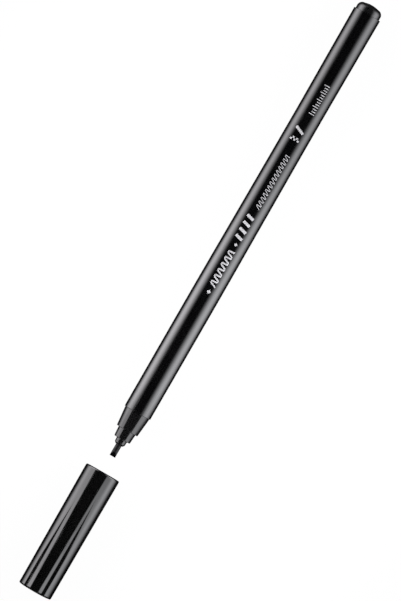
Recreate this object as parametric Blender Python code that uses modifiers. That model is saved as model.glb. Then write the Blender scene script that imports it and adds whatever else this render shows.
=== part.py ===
"""A capped fibre-tip calligraphy pen, laid out with its cap pulled straight off the nib.

Metres, +Z up. The pen lies along X with its nib towards -X, and the cap lies on the same axis beyond the
nib. The origin is on that axis, halfway between the cap's closed end and the tail of the pen.

Places along the pen are measured from the nib's writing edge, positive towards the tail. Places in the cap
are measured from its mouth, positive into the cap. Round pieces are turned about their local Z axis.
"""

import math

import bmesh
import bpy

MM = 0.001
TURN_STEPS = 48
MERGE = 0.000001
FIT = 0.03 * MM

# Driving dimensions of the pen
BARREL_FRONT = 15.1 * MM
BARREL_LENGTH = 138.0 * MM
BARREL_BORE_R = 3.40 * MM
# Outer radius of the waisted barrel, as (share of its length, radius)
BARREL_STATIONS = (
    (0.00, 4.40 * MM),
    (0.30, 4.44 * MM),
    (0.50, 4.33 * MM),
    (0.74, 4.24 * MM),
    (0.87, 4.33 * MM),
    (1.00, 4.43 * MM),
)
BARREL_RINGS = 16
EDGE_R = 0.15 * MM

SPIGOT_R = BARREL_BORE_R - FIT
BEAD_HEIGHT = 0.15 * MM
BEAD_WIDTH = 0.9 * MM

NIB_R = 0.93 * MM
NIB_LENGTH = 27.1 * MM
NIB_POINT_LENGTH = 3.0 * MM
NIB_POINT_R = 0.25 * MM
CHISEL_LENGTH = 1.55 * MM
CHISEL_EDGE = 0.30 * MM
NIB_STEPS = 32
FACET_CUTTER_SIZE = 6.0 * MM

COLLAR_FRONT = 3.95 * MM
COLLAR_LENGTH = 1.85 * MM
COLLAR_FRONT_R = 1.65 * MM
COLLAR_REAR_R = 1.75 * MM
SLEEVE_LENGTH = 3.05 * MM
SLEEVE_FRONT_R = 2.69 * MM
SLEEVE_REAR_R = 2.87 * MM
HOLDER_BODY_R = 2.45 * MM
HOLDER_END = 20.6 * MM
HOLDER_BORE_R = NIB_R + 0.05 * MM
VENT_WIDTH = 0.36 * MM
VENT_REACH = 1.28 * MM
VENT_ANGLES = (45.0, -45.0)
VENT_OVERSHOOT = 1.0 * MM

CONE_FRONT_R = 3.53 * MM
CONE_REAR_R = 4.13 * MM
NOSE_SPIGOT_LENGTH = 7.5 * MM

PLUG_R = 4.01 * MM
PLUG_HEIGHT = 3.0 * MM
PLUG_CROWN = 0.35 * MM
PLUG_CORNER_R = 1.7 * MM
PLUG_SPIGOT_LENGTH = 6.0 * MM
PLUG_WALL = 0.9 * MM
PLUG_ROOF = 1.2 * MM

WRAP_R = 3.25 * MM
WRAP_THICKNESS = 0.15 * MM
RESERVOIR_END_GAP = 0.25 * MM

# Driving dimensions of the cap
CAP_GAP = 5.55 * MM
CAP_LENGTH = 41.35 * MM
CAP_MOUTH_R = 5.66 * MM
CAP_END_R = 5.41 * MM
CAP_CORNER_R = 0.45 * MM
CAP_CROWN = 0.22 * MM
CAP_FLAT_R = 2.2 * MM
CAP_FLOOR = 1.2 * MM
CAP_BORE_MOUTH_R = 4.62 * MM
CAP_BORE_END_R = 4.48 * MM
CAP_LEAD_IN = 0.35 * MM

LINER_LENGTH = 13.7 * MM
LINER_R = 3.75 * MM
LINER_BORE_R = 3.00 * MM
LINER_FLOOR = 1.0 * MM
LINER_FLANGE_LENGTH = 2.2 * MM
LINER_LIP_R = 0.25 * MM

# Places that follow
BARREL_END = BARREL_FRONT + BARREL_LENGTH
TAIL = BARREL_END + FIT + PLUG_HEIGHT
SLEEVE_FRONT = COLLAR_FRONT + COLLAR_LENGTH
CONE_FRONT = SLEEVE_FRONT + SLEEVE_LENGTH + FIT
NOSE_END = BARREL_FRONT + NOSE_SPIGOT_LENGTH
PLUG_SPIGOT_FRONT = BARREL_END - PLUG_SPIGOT_LENGTH
NOSE_BEAD = BARREL_FRONT + NOSE_SPIGOT_LENGTH / 2
PLUG_BEAD = BARREL_END - PLUG_SPIGOT_LENGTH / 2
RESERVOIR_FRONT = NOSE_END + RESERVOIR_END_GAP
RESERVOIR_END = PLUG_SPIGOT_FRONT - RESERVOIR_END_GAP
NIB_EDGE_X = (CAP_GAP + CAP_LENGTH - TAIL) / 2
CAP_MOUTH_X = NIB_EDGE_X - CAP_GAP


def clear_scene():
    for obj in list(bpy.data.objects):
        bpy.data.objects.remove(obj, do_unlink=True)


def make_collection(name):
    collection = bpy.data.collections.new(name)
    bpy.context.scene.collection.children.link(collection)
    return collection


def make_material(name, colour, roughness, metallic=0.0):
    material = bpy.data.materials.new(name)
    material.use_nodes = True
    shader = material.node_tree.nodes["Principled BSDF"]
    shader.inputs["Base Color"].default_value = (*colour, 1.0)
    shader.inputs["Roughness"].default_value = roughness
    shader.inputs["Metallic"].default_value = metallic
    material.diffuse_color = (*colour, 1.0)
    return material


def arc(centre_z, centre_r, radius, start, end, count=4):
    """Profile points (z, r) on an arc. Angles are in degrees from the +r direction towards +z."""
    angles = (math.radians(start + (end - start) * i / count) for i in range(count + 1))
    return [(centre_z + radius * math.sin(a), centre_r + radius * math.cos(a)) for a in angles]


def smooth_radius(stations, share):
    """Radius at a share of the length, on a smooth curve through the stations."""
    points = [stations[0], *stations, stations[-1]]
    index = next((i for i in range(1, len(stations)) if share <= stations[i][0]), len(stations) - 1)
    before, start, end, after = points[index - 1 : index + 3]
    t = (share - start[0]) / (end[0] - start[0])
    span = end[0] - start[0]
    slope_in = (end[1] - before[1]) / (end[0] - before[0]) * span
    slope_out = (after[1] - start[1]) / (after[0] - start[0]) * span
    return (
        (2 * t**3 - 3 * t**2 + 1) * start[1]
        + (t**3 - 2 * t**2 + t) * slope_in
        + (3 * t**2 - 2 * t**3) * end[1]
        + (t**3 - t**2) * slope_out
    )


def turned(name, profile, material, collection, parent, closed=True, steps=TURN_STEPS):
    """A piece turned about its Z axis from (z, r) points, listed down its outer side from the highest z.

    A closed profile makes a tube or a ring. An open one starts and ends on the axis.
    """
    mesh = bpy.data.meshes.new(name)
    count = len(profile)
    edges = [(i, i + 1) for i in range(count - 1)]
    if closed:
        edges.append((count - 1, 0))
    mesh.from_pydata([(r, 0.0, z) for z, r in profile], edges, [])
    mesh.materials.append(material)
    obj = bpy.data.objects.new(name, mesh)
    collection.objects.link(obj)
    obj.parent = parent
    screw = obj.modifiers.new("Turn", "SCREW")
    screw.axis = "Z"
    screw.angle = 2 * math.pi
    screw.steps = steps
    screw.render_steps = steps
    screw.use_merge_vertices = True
    screw.merge_threshold = MERGE
    screw.use_smooth_shade = True
    return obj


def box_cutter(name, size, location, rotation, collection, parent):
    """A box that only cuts other pieces."""
    mesh = bpy.data.meshes.new(name)
    box = bmesh.new()
    bmesh.ops.create_cube(box, size=1.0)
    bmesh.ops.scale(box, vec=size, verts=box.verts)
    box.to_mesh(mesh)
    box.free()
    cutter = bpy.data.objects.new(name, mesh)
    collection.objects.link(cutter)
    cutter.location = location
    cutter.rotation_euler = rotation
    cutter.parent = parent
    cutter.hide_render = True
    cutter.display_type = "WIRE"
    return cutter


def cut(obj, cutter):
    boolean = obj.modifiers.new("Cut " + cutter.name, "BOOLEAN")
    boolean.operation = "DIFFERENCE"
    boolean.solver = "EXACT"
    boolean.object = cutter


def axis_empty(name, x, collection, flipped=False):
    """An empty on the pen's axis whose local Z points to the tail, or to the cap's closed end if flipped."""
    empty = bpy.data.objects.new(name, None)
    collection.objects.link(empty)
    empty.location = (x, 0.0, 0.0)
    empty.rotation_euler = (0.0, math.radians(-90.0 if flipped else 90.0), 0.0)
    return empty


def bead(z, radius):
    """A low round-backed ring on a spigot, or the groove for it in a bore, listed from the highest z."""
    half = BEAD_WIDTH / 2
    return [
        (z + half, radius),
        (z + half / 3, radius + BEAD_HEIGHT),
        (z - half / 3, radius + BEAD_HEIGHT),
        (z - half, radius),
    ]


def make_barrel(material, collection, parent):
    """Waisted tube, open at both ends, with a snap groove near each end of its bore."""
    shares = [i / BARREL_RINGS for i in range(1, BARREL_RINGS)]
    waist = [
        (BARREL_FRONT + share * BARREL_LENGTH, smooth_radius(BARREL_STATIONS, share))
        for share in reversed(shares)
    ]
    rear_r, front_r = BARREL_STATIONS[-1][1], BARREL_STATIONS[0][1]
    rear_edge = arc(BARREL_END - EDGE_R, rear_r - EDGE_R, EDGE_R, 90, 0)
    front_edge = arc(BARREL_FRONT + EDGE_R, front_r - EDGE_R, EDGE_R, 0, -90)
    bore = [
        (BARREL_END, BARREL_BORE_R),
        *bead(PLUG_BEAD, BARREL_BORE_R),
        *bead(NOSE_BEAD, BARREL_BORE_R),
        (BARREL_FRONT, BARREL_BORE_R),
    ]
    return turned("barrel", rear_edge + waist + front_edge + bore[::-1], material, collection, parent)


def make_rear_plug(material, collection, parent):
    """Domed tail plug with a hollow spigot that snaps into the barrel."""
    shoulder = BARREL_END + FIT
    corner_z = TAIL - PLUG_CROWN - PLUG_CORNER_R
    inner_r = SPIGOT_R - PLUG_WALL
    roof_z = TAIL - PLUG_CROWN - PLUG_ROOF
    crown_r = PLUG_R - PLUG_CORNER_R
    crown = [(TAIL - PLUG_CROWN * share**2, crown_r * share) for share in (0.0, 0.6)]
    corner = arc(corner_z, crown_r, PLUG_CORNER_R, 90, 0, count=6)
    spigot = [
        (shoulder, PLUG_R),
        (shoulder, SPIGOT_R),
        *bead(PLUG_BEAD, SPIGOT_R),
        (PLUG_SPIGOT_FRONT + EDGE_R, SPIGOT_R),
        (PLUG_SPIGOT_FRONT, SPIGOT_R - EDGE_R),
        (PLUG_SPIGOT_FRONT, inner_r),
        (roof_z, inner_r),
        (roof_z, 0.0),
    ]
    return turned("rear_plug", crown + corner + spigot, material, collection, parent, closed=False)


def make_nose_cone(material, collection, parent):
    """Tapered front section. Its spigot snaps into the barrel and its bore holds the nib holder."""
    bore_r = HOLDER_BODY_R + FIT
    seat = BARREL_FRONT - FIT
    profile = [
        (NOSE_END, SPIGOT_R - EDGE_R),
        (NOSE_END - EDGE_R, SPIGOT_R),
        *bead(NOSE_BEAD, SPIGOT_R),
        (seat, SPIGOT_R),
        (seat, CONE_REAR_R - EDGE_R / 2),
        (seat - EDGE_R / 2, CONE_REAR_R),
        *arc(CONE_FRONT + EDGE_R, CONE_FRONT_R - EDGE_R, EDGE_R, 0, -90, count=3),
        (CONE_FRONT, bore_r),
        (NOSE_END, bore_r),
    ]
    return turned("nose_cone", profile, material, collection, parent)


def make_nib_holder(material, collection, cutters, parent):
    """Stepped insert that grips the nib. Four slots along its bore let air in past the nib."""
    rear = SLEEVE_FRONT + SLEEVE_LENGTH
    profile = [
        (HOLDER_END, HOLDER_BODY_R - EDGE_R),
        (HOLDER_END - EDGE_R, HOLDER_BODY_R),
        (rear, HOLDER_BODY_R),
        (rear, SLEEVE_REAR_R),
        *arc(SLEEVE_FRONT + EDGE_R, SLEEVE_FRONT_R - EDGE_R, EDGE_R, 0, -90, count=3),
        (SLEEVE_FRONT, COLLAR_REAR_R),
        *arc(COLLAR_FRONT + EDGE_R, COLLAR_FRONT_R - EDGE_R, EDGE_R, 0, -90, count=3),
        (COLLAR_FRONT, HOLDER_BORE_R),
        (HOLDER_END, HOLDER_BORE_R),
    ]
    holder = turned("nib_holder", profile, material, collection, parent, steps=NIB_STEPS)
    length = HOLDER_END - COLLAR_FRONT
    for index, angle in enumerate(VENT_ANGLES):
        slot = box_cutter(
            f"vent_cutter_{index + 1}",
            (2 * VENT_REACH, VENT_WIDTH, length + 2 * VENT_OVERSHOOT),
            (0.0, 0.0, COLLAR_FRONT + length / 2),
            (0.0, 0.0, math.radians(angle)),
            cutters,
            parent,
        )
        cut(holder, slot)
    return holder


def make_nib(material, collection, cutters, parent):
    """Round fibre rod with a chisel edge in front and a blunt point behind, inside the reservoir."""
    profile = [
        (NIB_LENGTH, 0.0),
        (NIB_LENGTH, NIB_POINT_R),
        (NIB_LENGTH - NIB_POINT_LENGTH, NIB_R),
        (0.0, NIB_R),
        (0.0, 0.0),
    ]
    nib = turned("nib", profile, material, collection, parent, closed=False, steps=NIB_STEPS)
    slope = math.atan2(NIB_R - CHISEL_EDGE / 2, CHISEL_LENGTH)
    size = FACET_CUTTER_SIZE
    for side in (1, -1):
        # The cutter's lower face passes through the edge and rises away from the tip
        x = side * (CHISEL_EDGE / 2 + size / 2 * math.cos(slope))
        z = -size / 2 * math.sin(slope)
        rotation = (0.0, side * slope, 0.0)
        facet = box_cutter(
            "chisel_cutter_" + ("top" if side < 0 else "bottom"),
            (size, size, size),
            (x, 0.0, z),
            rotation,
            cutters,
            parent,
        )
        cut(nib, facet)
    return nib


def make_ink_reservoir(material, collection, parent):
    """Bonded fibre rod that stores the ink, with a pocket for the back of the nib."""
    radius = WRAP_R - WRAP_THICKNESS - FIT
    pocket = [
        (NIB_LENGTH + FIT, NIB_POINT_R),
        (NIB_LENGTH - NIB_POINT_LENGTH, NIB_R + FIT),
        (RESERVOIR_FRONT, NIB_R + FIT),
    ]
    outer = [
        (RESERVOIR_END, 0.0),
        (RESERVOIR_END, radius),
        (RESERVOIR_FRONT, radius),
    ]
    profile = outer + pocket[::-1] + [(NIB_LENGTH + FIT, 0.0)]
    return turned("ink_reservoir", profile, material, collection, parent, closed=False)


def make_reservoir_wrap(material, collection, parent):
    """Film sleeve around the reservoir, which keeps the ink off the barrel's wall."""
    inner_r = WRAP_R - WRAP_THICKNESS
    profile = [
        (RESERVOIR_END, WRAP_R),
        (RESERVOIR_FRONT, WRAP_R),
        (RESERVOIR_FRONT, inner_r),
        (RESERVOIR_END, inner_r),
    ]
    return turned("reservoir_wrap", profile, material, collection, parent)


def make_cap_shell(material, collection, parent):
    """Slightly tapered cup, closed by a low crown with a flat centre. It slides over the barrel."""
    corner_z = CAP_LENGTH - CAP_CROWN - CAP_CORNER_R
    floor_z = CAP_LENGTH - CAP_FLOOR
    profile = [
        (CAP_LENGTH, 0.0),
        (CAP_LENGTH, CAP_FLAT_R),
        *arc(corner_z, CAP_END_R - CAP_CORNER_R, CAP_CORNER_R, 90, 0),
        *arc(CAP_CORNER_R, CAP_MOUTH_R - CAP_CORNER_R, CAP_CORNER_R, 0, -90),
        (0.0, CAP_BORE_MOUTH_R + CAP_LEAD_IN),
        (CAP_LEAD_IN, CAP_BORE_MOUTH_R),
        (floor_z, CAP_BORE_END_R),
        (floor_z, 0.0),
    ]
    return turned("cap_shell", profile, material, collection, parent, closed=False)


def make_cap_liner(material, collection, parent):
    """Inner cup, pressed into the bottom of the cap, that closes round the nib when the cap is on."""
    floor_z = CAP_LENGTH - CAP_FLOOR - FIT
    mouth_z = floor_z - LINER_LENGTH
    flange_z = floor_z - LINER_FLANGE_LENGTH
    flange_r = CAP_BORE_END_R - FIT
    profile = [
        (floor_z, 0.0),
        (floor_z, flange_r),
        (flange_z, flange_r),
        (flange_z, LINER_R),
        *arc(mouth_z + LINER_LIP_R, LINER_R - LINER_LIP_R, LINER_LIP_R, 0, -90, count=3),
        (mouth_z, LINER_BORE_R + LINER_LIP_R),
        (mouth_z + LINER_LIP_R, LINER_BORE_R),
        (floor_z - LINER_FLOOR, LINER_BORE_R),
        (floor_z - LINER_FLOOR, 0.0),
    ]
    return turned("cap_liner", profile, material, collection, parent, closed=False)


def main():
    clear_scene()
    pieces = make_collection("calligraphy_pen")
    cutters = make_collection("cutters")

    gloss_black = make_material("gloss_black", (0.012, 0.012, 0.014), 0.22)
    satin_black = make_material("satin_black", (0.016, 0.016, 0.017), 0.34)
    cap_black = make_material("cap_black", (0.012, 0.012, 0.012), 0.16)
    nib_fibre = make_material("nib_fibre", (0.020, 0.020, 0.022), 0.60)
    inked_fibre = make_material("inked_fibre", (0.035, 0.035, 0.042), 0.85)
    clear_film = make_material("clear_film", (0.60, 0.61, 0.62), 0.25)
    liner_grey = make_material("liner_grey", (0.30, 0.30, 0.31), 0.45)

    pen = axis_empty("pen_axis", NIB_EDGE_X, pieces)
    make_barrel(gloss_black, pieces, pen)
    make_rear_plug(satin_black, pieces, pen)
    make_nose_cone(satin_black, pieces, pen)
    make_nib_holder(satin_black, pieces, cutters, pen)
    make_nib(nib_fibre, pieces, cutters, pen)
    make_ink_reservoir(inked_fibre, pieces, pen)
    make_reservoir_wrap(clear_film, pieces, pen)

    cap = axis_empty("cap_axis", CAP_MOUTH_X, pieces, flipped=True)
    make_cap_shell(cap_black, pieces, cap)
    make_cap_liner(liner_grey, pieces, cap)


main()
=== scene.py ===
"""The looks of a capped fibre-tip calligraphy pen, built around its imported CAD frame.

Metres, in the row frame: the pen lies along X with its nib towards -X, and the cap is on the same axis
beyond the nib. Every round piece is turned about X. Its angle is 0 at +Z, the side that faces the camera,
and grows towards +Y.
"""

import math

import bmesh
import bpy
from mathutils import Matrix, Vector, noise


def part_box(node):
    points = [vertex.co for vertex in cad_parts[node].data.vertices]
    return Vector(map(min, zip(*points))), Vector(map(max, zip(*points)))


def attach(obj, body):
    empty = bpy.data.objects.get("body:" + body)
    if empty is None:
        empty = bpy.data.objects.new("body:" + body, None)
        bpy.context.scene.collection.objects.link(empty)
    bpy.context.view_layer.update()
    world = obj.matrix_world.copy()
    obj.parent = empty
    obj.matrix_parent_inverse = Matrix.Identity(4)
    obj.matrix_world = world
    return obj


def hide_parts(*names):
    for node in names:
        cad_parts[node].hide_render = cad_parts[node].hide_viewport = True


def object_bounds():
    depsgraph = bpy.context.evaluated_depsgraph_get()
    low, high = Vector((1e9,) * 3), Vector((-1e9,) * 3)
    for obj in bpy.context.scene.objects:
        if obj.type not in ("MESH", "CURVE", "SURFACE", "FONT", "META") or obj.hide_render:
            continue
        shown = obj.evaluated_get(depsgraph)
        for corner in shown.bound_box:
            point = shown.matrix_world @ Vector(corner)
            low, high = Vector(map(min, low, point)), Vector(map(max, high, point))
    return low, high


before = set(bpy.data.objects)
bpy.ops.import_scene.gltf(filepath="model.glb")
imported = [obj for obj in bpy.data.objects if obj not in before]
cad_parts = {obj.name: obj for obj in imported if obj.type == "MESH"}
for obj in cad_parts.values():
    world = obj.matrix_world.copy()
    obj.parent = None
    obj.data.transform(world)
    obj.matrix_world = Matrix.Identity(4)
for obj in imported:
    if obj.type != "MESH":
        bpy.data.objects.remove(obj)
cad_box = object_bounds()

MM = 0.001
# Steps round a piece, for wide and narrow ones
FINE_STEPS = 144
SMALL_STEPS = 96
# Edges that bend by more than this are shaded sharp
SHARP_ANGLE = math.radians(32.0)
# A stretch of a profile longer than this gets a point this close beside an end that bends by this much
LONG_STRETCH = 0.20 * MM
SUPPORT_GAP = 0.03 * MM
LEAST_BEND = math.radians(2.5)

# Places that the frame gives
NIB_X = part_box("nib")[0].x
BARREL_X0, BARREL_X1 = (corner.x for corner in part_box("barrel"))
TAIL_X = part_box("rear_plug")[1].x
CONE_X0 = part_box("nose_cone")[0].x
NOSE_END_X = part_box("nose_cone")[1].x
HOLDER_X0, HOLDER_X1 = (corner.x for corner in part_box("nib_holder"))
NIB_END_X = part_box("nib")[1].x
PLUG_SPIGOT_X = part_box("rear_plug")[0].x
CAP_END_X, CAP_MOUTH_X = (corner.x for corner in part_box("cap_shell"))
LINER_X0, LINER_X1 = (corner.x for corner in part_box("cap_liner"))
CORE_X0, CORE_X1 = (corner.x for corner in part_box("ink_reservoir"))
WRAP_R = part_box("reservoir_wrap")[1].z
NIB_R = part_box("nib")[1].y
CAP_LENGTH = CAP_MOUTH_X - CAP_END_X
# How far the cap reaches over the barrel when it is on
CAP_COVER = 20 * MM

# Sizes of the fine pieces
EDGE_R = 0.15 * MM
BORE_R = 3.40 * MM
SPIGOT_R = 3.37 * MM
BEAD_HEIGHT = 0.15 * MM
BEAD_WIDTH = 0.9 * MM
BEAD_STEPS = 8
# Gap between the barrel's ends and the pieces that seat on them
SEAT_GAP = 0.03 * MM
CAP_MOUTH_R = 5.66 * MM
CAP_END_R = 5.41 * MM
CAP_CORNER_R = 0.45 * MM
CAP_CROWN = 0.22 * MM
CAP_FLAT_R = 2.2 * MM
CAP_FLOOR = 1.2 * MM
CAP_BORE_MOUTH_R = 4.62 * MM
CAP_BORE_END_R = 4.48 * MM
CAP_LEAD_IN = 0.35 * MM
SNAP_RING_DEPTH = 3.0 * MM
SNAP_RING_HEIGHT = 0.07 * MM
LINER_R = 3.75 * MM
LINER_BORE_R = 3.00 * MM
LINER_FLOOR = 1.0 * MM
LINER_FLANGE_LENGTH = 2.2 * MM
LINER_LIP_R = 0.25 * MM


# ---- geometry helpers


def smooth(value, start, end):
    """0 before start and 1 after end, with a smooth turn between them."""
    share = min(max((value - start) / (end - start), 0.0), 1.0)
    return share * share * (3 - 2 * share)


def mix(a, b, share):
    return a + (b - a) * share


def arc(centre_x, centre_r, radius, start, end, count=8):
    """Profile points (x, r) on an arc. Angles are in degrees from the +r direction towards +X."""
    angles = (math.radians(mix(start, end, i / count)) for i in range(count + 1))
    return [(centre_x + radius * math.sin(a), centre_r + radius * math.cos(a)) for a in angles]


def bead(x, radius, height=BEAD_HEIGHT):
    """Profile points of a round-backed ring on a spigot, or of its groove in a bore, along +X."""
    shares = [i / BEAD_STEPS for i in range(BEAD_STEPS + 1)]
    return [
        (x + BEAD_WIDTH * (share - 0.5), radius + height * math.sin(math.pi * share) ** 2)
        for share in shares
    ]


def node_rings(node, least_r):
    """(x, r) of each ring of a turned CAD node whose radius is over least_r, along +X."""
    rings = {}
    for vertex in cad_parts[node].data.vertices:
        x, y, z = vertex.co
        radius = math.hypot(y, z)
        if radius > least_r:
            key = round(x / MM, 2)
            rings[key] = max(rings.get(key, 0.0), radius)
    return [(key * MM, rings[key]) for key in sorted(rings)]


def curve_through(points, x):
    """Smooth curve through (x, r) points: each stretch is a cubic with the neighbours' slopes."""
    index = next((i for i in range(1, len(points)) if x <= points[i][0]), len(points) - 1)
    start, end = points[index - 1], points[index]
    before = points[max(index - 2, 0)]
    after = points[min(index + 1, len(points) - 1)]
    span = end[0] - start[0]
    t = min(max((x - start[0]) / span, 0.0), 1.0)
    slope_in = (end[1] - before[1]) / (end[0] - before[0]) * span
    slope_out = (after[1] - start[1]) / (after[0] - start[0]) * span
    return (
        (2 * t**3 - 3 * t**2 + 1) * start[1]
        + (t**3 - 2 * t**2 + t) * slope_in
        + (3 * t**2 - 2 * t**3) * end[1]
        + (t**3 - t**2) * slope_out
    )


def placed(name, data):
    """A new object in the scene."""
    obj = bpy.data.objects.new(name, data)
    bpy.context.scene.collection.objects.link(obj)
    return obj


def new_object(name, mesh, body, material, replaced=()):
    """A visible piece that rides on a body and stands for the CAD nodes in replaced."""
    obj = placed(name, mesh)
    mesh.materials.append(material)
    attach(obj, body)
    if replaced:
        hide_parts(*replaced)
    return obj


def shade(mesh):
    mesh.shade_smooth()
    mesh.set_sharp_from_angle(angle=SHARP_ANGLE)


def finished(form, name):
    """The mesh of a bmesh form, with its faces turned outwards."""
    bmesh.ops.recalc_face_normals(form, faces=form.faces)
    mesh = bpy.data.meshes.new(name)
    form.to_mesh(mesh)
    form.free()
    shade(mesh)
    return mesh


def turn_between(a, b, c):
    """How far the way from a through b to c bends at b, in radians."""
    bend = math.atan2(c[1] - b[1], c[0] - b[0]) - math.atan2(b[1] - a[1], b[0] - a[0])
    return abs(math.remainder(bend, 2 * math.pi))


def supported(profile, closed):
    """The profile with a point close beside each bend at the end of a long stretch.

    Without it the shading of a rounded rim would spread over the whole stretch.
    """
    count = len(profile)
    points = []
    for i, start in enumerate(profile):
        points.append(start)
        if not closed and i == count - 1:
            break
        end = profile[(i + 1) % count]
        length = math.dist(start, end)
        if length < LONG_STRETCH:
            continue
        share = SUPPORT_GAP / length
        if turn_between(profile[i - 1], start, end) > LEAST_BEND:
            points.append((mix(start[0], end[0], share), mix(start[1], end[1], share)))
        if turn_between(start, end, profile[(i + 2) % count]) > LEAST_BEND:
            points.append((mix(end[0], start[0], share), mix(end[1], start[1], share)))
    return points


def turned_mesh(name, profile, steps=FINE_STEPS, closed=True, shape=None):
    """A mesh turned about X from (x, r) points that run once round the piece's cut section.

    A closed profile makes a tube or a ring. An open one starts and ends on the axis. shape(x, r, angle)
    may change a point's radius.
    """
    form = bmesh.new()
    rings = []
    for x, radius in supported(profile, closed):
        if radius < 1e-7:
            rings.append([form.verts.new((x, 0.0, 0.0))])
            continue
        ring = []
        for i in range(steps):
            angle = 2 * math.pi * i / steps
            r = shape(x, radius, angle) if shape else radius
            ring.append(form.verts.new((x, r * math.sin(angle), r * math.cos(angle))))
        rings.append(ring)
    pairs = list(zip(rings, rings[1:], strict=False))
    if closed:
        pairs.append((rings[-1], rings[0]))
    for low, high in pairs:
        for i in range(steps):
            j = (i + 1) % steps
            corners = [low[i % len(low)], low[j % len(low)], high[j % len(high)], high[i % len(high)]]
            form.faces.new(list(dict.fromkeys(corners)))
    return finished(form, name)


# ---- material helpers


class Nodes:
    """Short ways to build a material's node tree."""

    def __init__(self, name, colour, roughness, **settings):
        self.material = bpy.data.materials.new(name)
        self.material.use_nodes = True
        self.tree = self.material.node_tree
        self.shader = self.tree.nodes["Principled BSDF"]
        self.shader.inputs["Base Color"].default_value = (*colour, 1.0)
        self.shader.inputs["Roughness"].default_value = roughness
        for socket, value in settings.items():
            self.shader.inputs[socket.replace("_", " ")].default_value = value
        self.place = self.tree.nodes.new("ShaderNodeTexCoord").outputs["Object"]
        self.normal = None

    def link(self, output, socket):
        self.tree.links.new(output, socket)

    def scaled(self, scale):
        """The place on the piece, stretched along each axis."""
        mapping = self.tree.nodes.new("ShaderNodeMapping")
        mapping.inputs["Scale"].default_value = scale
        self.link(self.place, mapping.inputs["Vector"])
        return mapping.outputs["Vector"]

    def noise(self, scale, detail=2.0, roughness=0.5):
        """Noise whose grain is one over scale metres along each axis."""
        texture = self.tree.nodes.new("ShaderNodeTexNoise")
        texture.inputs["Scale"].default_value = 1.0
        texture.inputs["Detail"].default_value = detail
        texture.inputs["Roughness"].default_value = roughness
        self.link(self.scaled(scale), texture.inputs["Vector"])
        return texture.outputs["Fac"]

    def voronoi(self, scale):
        texture = self.tree.nodes.new("ShaderNodeTexVoronoi")
        texture.inputs["Scale"].default_value = 1.0
        self.link(self.scaled(scale), texture.inputs["Vector"])
        return texture.outputs["Distance"]

    def spread(self, value, low, high, to_low, to_high):
        """value from low..high mapped to to_low..to_high, and held there."""
        node = self.tree.nodes.new("ShaderNodeMapRange")
        ends = {"From Min": low, "From Max": high, "To Min": to_low, "To Max": to_high}
        for socket, number in ends.items():
            node.inputs[socket].default_value = number
        self.link(value, node.inputs["Value"])
        return node.outputs["Result"]

    def toned(self, texture, to_low, to_high):
        """A noise texture mapped to to_low..to_high. Most of the noise lies between 0.3 and 0.7."""
        return self.spread(texture, 0.3, 0.7, to_low, to_high)

    def between(self, share, at_0, at_1):
        """A share of 0..1 mapped to at_0..at_1."""
        return self.spread(share, 0.0, 1.0, at_0, at_1)

    def plus(self, value, other, share):
        """value and a share of other, added up."""
        return self.math("ADD", value, self.math("MULTIPLY", other, share))

    def math(self, operation, first, second):
        node = self.tree.nodes.new("ShaderNodeMath")
        node.operation = operation
        for socket, value in zip(node.inputs, (first, second), strict=False):
            if isinstance(value, (int, float)):
                socket.default_value = value
            else:
                self.link(value, socket)
        return node.outputs["Value"]

    def axis(self, name):
        """The piece's own X, Y or Z place in metres."""
        node = self.tree.nodes.new("ShaderNodeSeparateXYZ")
        self.link(self.place, node.inputs["Vector"])
        return node.outputs[name]

    def radius(self):
        """Distance from the pen's axis in metres."""
        mapping = self.scaled((0.0, 1.0, 1.0))
        node = self.tree.nodes.new("ShaderNodeVectorMath")
        node.operation = "LENGTH"
        self.link(mapping, node.inputs[0])
        return node.outputs["Value"]

    def band(self, start, end, fade):
        """1 between two places along X, and 0 beyond the fade outside them."""
        x = self.axis("X")
        rise = self.spread(x, start - fade, start, 0.0, 1.0)
        fall = self.spread(x, end, end + fade, 1.0, 0.0)
        return self.math("MULTIPLY", rise, fall)

    def colour(self, value, dark, light):
        """The base colour runs from dark to light with value."""
        node = self.tree.nodes.new("ShaderNodeMix")
        node.data_type = "RGBA"
        self.link(value, node.inputs["Factor"])
        node.inputs["A"].default_value = (*dark, 1.0)
        node.inputs["B"].default_value = (*light, 1.0)
        self.link(node.outputs["Result"], self.shader.inputs["Base Color"])

    def rough(self, value):
        self.link(value, self.shader.inputs["Roughness"])

    def bump(self, height, distance):
        """Adds relief: height 0..1 stands for distance metres. Bumps stack."""
        node = self.tree.nodes.new("ShaderNodeBump")
        node.inputs["Distance"].default_value = distance
        self.link(height, node.inputs["Height"])
        if self.normal is not None:
            self.link(self.normal, node.inputs["Normal"])
        self.normal = node.outputs["Normal"]
        self.link(self.normal, self.shader.inputs["Normal"])


def every(value):
    """A texture scale or a grey: three equal values."""
    return (value, value, value)


def along(scale_x, scale_across):
    """A texture scale with one value along the pen and another across it."""
    return (scale_x, scale_across, scale_across)


# ---- materials


# Noise starts to show as a scratch or a chipped speck at the first value and shows fully at the second
SCRATCH_LEVELS = (0.62, 0.68)
SPECK_LEVELS = (0.58, 0.68)
# How far the wear reaches in from a rim, and how softly it ends
WEAR_REACH = 0.5 * MM
WEAR_FADE = 0.4 * MM
# How softly the rubbed part of the barrel ends
RUB_FADE = 1.5 * MM
# Where the ink-wet part of the chisel starts and stops to dry, from the nib's edge
DRY_START = 1.1 * MM
DRY_END = 1.6 * MM


def hair_scratches(look):
    """1 on thin scratches along the pen, the way that the cap and the hand rub it."""
    long_hairs = look.spread(look.noise(along(45.0, 6000.0), detail=2.0), *SCRATCH_LEVELS, 0.0, 1.0)
    patches = look.spread(look.noise(every(220.0), detail=1.0), 0.40, 0.60, 0.2, 1.0)
    return look.math("MULTIPLY", long_hairs, patches)


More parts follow.
